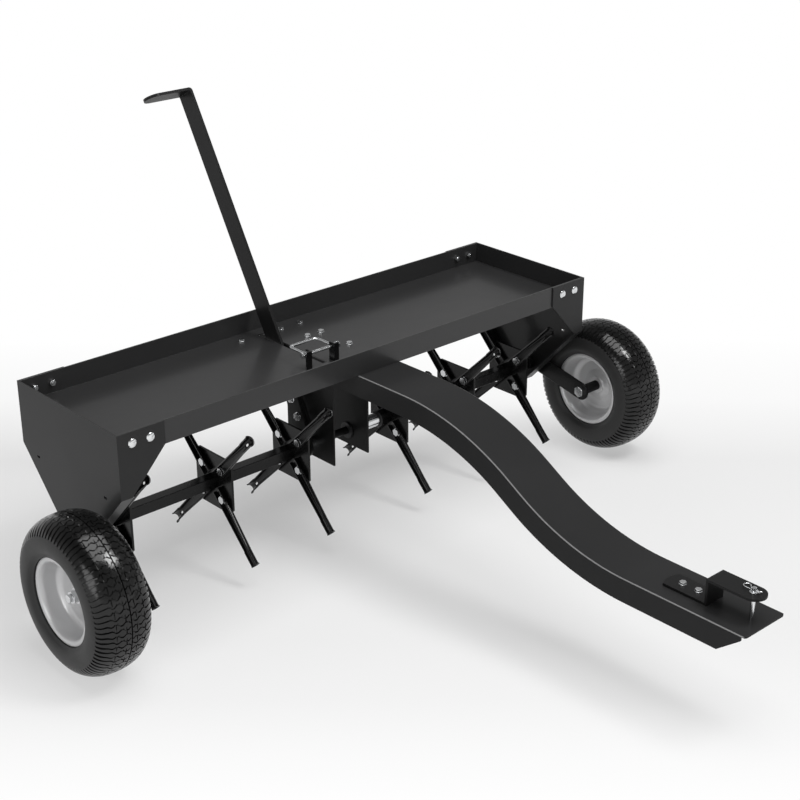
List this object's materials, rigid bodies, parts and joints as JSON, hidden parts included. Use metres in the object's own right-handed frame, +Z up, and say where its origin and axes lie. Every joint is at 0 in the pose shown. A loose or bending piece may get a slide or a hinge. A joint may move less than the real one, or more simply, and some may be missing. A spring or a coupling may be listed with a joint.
{
  "type": "tow behind aerator",
  "caption": "Towed lawn plug aerator with free-turning stars of coring spoons, a ballast tray, an S-curved drawbar and a lever that swings the wheels for transport.",
  "frame": {"origin": "on the ground under the middle of the machine's outer box, drawbar and lever included", "axes": "+Z up, -Y is the towing direction along the drawbar, +X from the left wheel to the right one when seen from the drawbar's side in the picture"},
  "size_m": [1.2578, 1.242, 0.7299],
  "materials": {
    "black_coat": "satin black powder coat",
    "zinc": "bright zinc plate",
    "rim_silver": "light silver-grey paint, low gloss",
    "tyre": "black rubber with turf tread",
    "nylon": "black nylon bush"
  },
  "bodies": {
    "frame": {"tray": "black_coat", "end_plate_left": "black_coat", "end_plate_right": "black_coat", "end_plate_bolts": "zinc", "deck_bolts": "zinc", "drawbar": "black_coat", "hanger_bracket": "black_coat", "shaft_bushes": "nylon", "hitch_bracket": "black_coat", "hitch_bolts": "zinc", "hitch_washer": "zinc", "latch_tabs": "black_coat", "latch_rod": "zinc", "latch_nuts": "zinc"},
    "rocker": {"rock_shaft": "black_coat", "shaft_spacer_left": "zinc", "shaft_spacer_right": "zinc", "lever_bracket": "black_coat", "lever_bolts": "zinc", "transport_lever": "black_coat", "wheel_arm_left": "black_coat", "wheel_arm_right": "black_coat", "axle_bolt_left": "zinc", "axle_bolt_right": "zinc", "axle_sleeve_left": "black_coat", "axle_sleeve_right": "black_coat", "axle_nuts": "zinc"},
    "wheel_left": {"wheel_rim_left": "rim_silver", "wheel_bush_left": "nylon", "tyre_left": "tyre"},
    "wheel_right": {"wheel_rim_right": "rim_silver", "wheel_bush_right": "nylon", "tyre_right": "tyre"},
    "tines_left": {"tine_tube_left": "black_coat", "tine_bushes_left": "nylon", "star_plate_1": "black_coat", "star_plate_2": "black_coat", "star_plate_3": "black_coat", "spoons_1": "black_coat", "spoons_2": "black_coat", "spoons_3": "black_coat", "star_bolts_left": "zinc"},
    "tines_right": {"tine_tube_right": "black_coat", "tine_bushes_right": "nylon", "star_plate_4": "black_coat", "star_plate_5": "black_coat", "star_plate_6": "black_coat", "spoons_4": "black_coat", "spoons_5": "black_coat", "spoons_6": "black_coat", "star_bolts_right": "zinc"},
    "bail": {"latch_bail": "zinc"},
    "pin": {"hitch_pin": "zinc", "hitch_clip": "zinc"}
  },
  "joints": [
    {"name": "lever_swing", "type": "hinge", "parent": "frame", "child": "rocker", "pos_m": [0, 0.29444, 0.1545], "axis": [1, 0, 0], "range_deg": [0, 33]},
    {"name": "bail_swing", "type": "hinge", "parent": "frame", "child": "bail", "pos_m": [-0.058, 0.24244, 0.35], "axis": [1, 0, 0], "range_deg": [0, 90]},
    {"name": "wheel_left_spin", "type": "hinge", "parent": "rocker", "child": "wheel_left", "pos_m": [-0.5789, 0.17039, 0.1268], "axis": [1, 0, 0], "continuous": true},
    {"name": "wheel_right_spin", "type": "hinge", "parent": "rocker", "child": "wheel_right", "pos_m": [0.5789, 0.17039, 0.1268], "axis": [1, 0, 0], "continuous": true},
    {"name": "tines_left_spin", "type": "hinge", "parent": "rocker", "child": "tines_left", "pos_m": [-0.28, 0.29444, 0.1545], "axis": [1, 0, 0], "continuous": true},
    {"name": "tines_right_spin", "type": "hinge", "parent": "rocker", "child": "tines_right", "pos_m": [0.3, 0.29444, 0.1545], "axis": [1, 0, 0], "continuous": true},
    {"name": "pin_lift", "type": "slide", "parent": "frame", "child": "pin", "axis": [0, 0, 1], "range_m": [0, 0.062]}
  ],
  "couplings": [
    {"joint": "bail_swing", "follows": "lever_swing", "ratio": 2.7}
  ]
}
